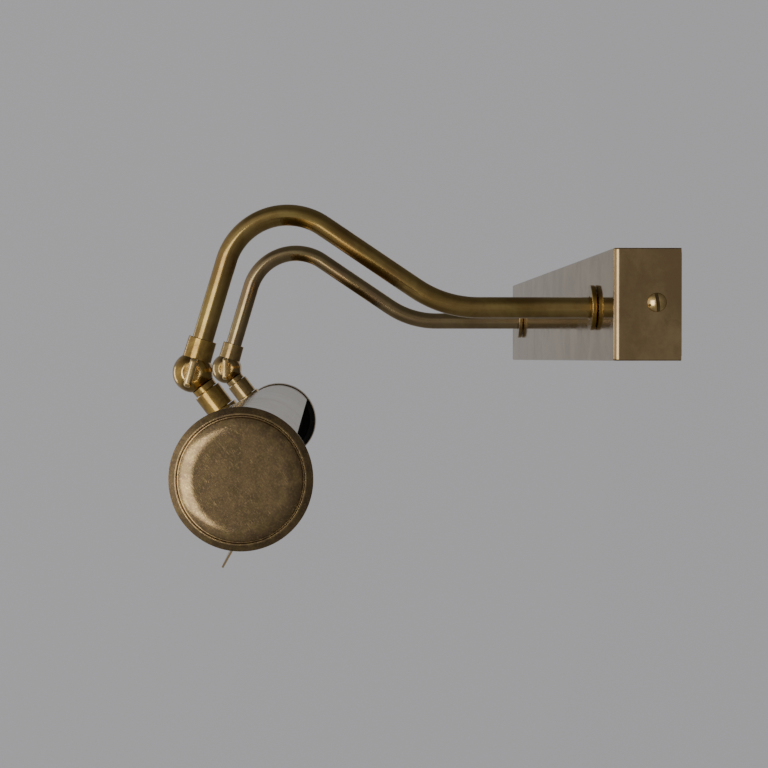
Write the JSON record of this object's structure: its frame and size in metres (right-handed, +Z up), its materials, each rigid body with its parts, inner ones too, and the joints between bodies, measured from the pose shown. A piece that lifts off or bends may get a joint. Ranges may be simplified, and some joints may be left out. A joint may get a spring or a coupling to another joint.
{
  "type": "picture light",
  "caption": "Wall picture light: a long brass shade with end caps tilts on knuckle joints at the ends of bent arms from a slim wall box.",
  "frame": {"origin": "centre of the wall bracket's back face, level with the arms where they leave the box", "axes": "+X along the light to its right end, +Y into the wall, +Z up; the light stands out to -Y"},
  "size_m": [0.698, 0.2293, 0.1519],
  "materials": {
    "box_brass": "aged, satin polished, faint brown patina",
    "arm_brass": "aged, drawn along the tube, brown patina",
    "joint_brass": "aged, turned, worn bright on edges",
    "screw_brass": "bright where fingers and tools touch it",
    "shade_brass": "aged and buffed along its length",
    "cap_brass": "aged, mottled brown patina with fine scratches",
    "fixing_steel": "zinc plated",
    "bracket_steel": "zinc plated sheet",
    "channel_aluminium": "anodised extrusion",
    "driver_plastic": "fine moulded texture",
    "terminal_plastic": "translucent white",
    "lead_sleeve": "woven sleeve over two cores",
    "grommet_rubber": "matt",
    "washer_fibre": "pressed fibre",
    "board_white": "white solder mask",
    "opal_diffuser": "opal, satin"
  },
  "bodies": {
    "wall_unit": {"wall_bracket": "bracket_steel", "backplate_cover": "box_brass", "cable_grommet": "grommet_rubber", "led_driver": "driver_plastic", "terminal_block": "terminal_plastic", "terminal_screw_upper_1": "screw_brass", "terminal_screw_lower_1": "screw_brass", "terminal_screw_upper_2": "screw_brass", "terminal_screw_lower_2": "screw_brass", "terminal_screw_upper_3": "screw_brass", "terminal_screw_lower_3": "screw_brass", "earth_washer": "screw_brass", "earth_screw": "screw_brass", "driver_screw_right": "fixing_steel", "driver_screw_left": "fixing_steel", "cover_screw_right": "screw_brass", "cover_screw_left": "screw_brass", "wall_disc_right": "arm_brass", "wall_disc_left": "arm_brass", "arm_tube_right": "arm_brass", "arm_tube_left": "arm_brass", "arm_washer_right": "fixing_steel", "arm_washer_left": "fixing_steel", "arm_nut_right": "fixing_steel", "arm_nut_left": "fixing_steel", "input_lead": "lead_sleeve", "arm_cable": "lead_sleeve", "knuckle_upper_right": "joint_brass", "knuckle_upper_left": "joint_brass", "friction_washer_right": "washer_fibre", "friction_washer_left": "washer_fibre"},
    "shade_head": {"knuckle_lower_right": "joint_brass", "knuckle_lower_left": "joint_brass", "stem_collar_right": "joint_brass", "stem_collar_left": "joint_brass", "saddle_washer_right": "joint_brass", "saddle_washer_left": "joint_brass", "stem_washer_right": "fixing_steel", "stem_washer_left": "fixing_steel", "lamp_bracket_right": "fixing_steel", "lamp_bracket_left": "fixing_steel", "stem_nut_right": "fixing_steel", "stem_nut_left": "fixing_steel", "bracket_screw_right": "fixing_steel", "bracket_screw_left": "fixing_steel", "heat_sink": "channel_aluminium", "led_board": "board_white", "diffuser": "opal_diffuser", "channel_end_right": "driver_plastic", "channel_end_left": "driver_plastic", "shade_cable": "lead_sleeve", "shade_trough": "shade_brass", "end_cap_right": "cap_brass", "end_cap_left": "cap_brass"},
    "right_thumb_screw": {"thumb_screw_right": "screw_brass"},
    "left_thumb_screw": {"thumb_screw_left": "screw_brass"}
  },
  "joints": [
    {"name": "shade_tilt", "type": "hinge", "parent": "wall_unit", "child": "shade_head", "pos_m": [0, -0.21987, -0.03053], "axis": [1, 0, 0], "range_deg": [-75, 35]},
    {"name": "right_thumb_turn", "type": "hinge", "parent": "wall_unit", "child": "right_thumb_screw", "pos_m": [0.164, -0.21987, -0.03053], "axis": [1, 0, 0], "range_deg": [0, 180]},
    {"name": "left_thumb_turn", "type": "hinge", "parent": "wall_unit", "child": "left_thumb_screw", "pos_m": [-0.164, -0.21987, -0.03053], "axis": [1, 0, 0], "range_deg": [0, 180]}
  ]
}
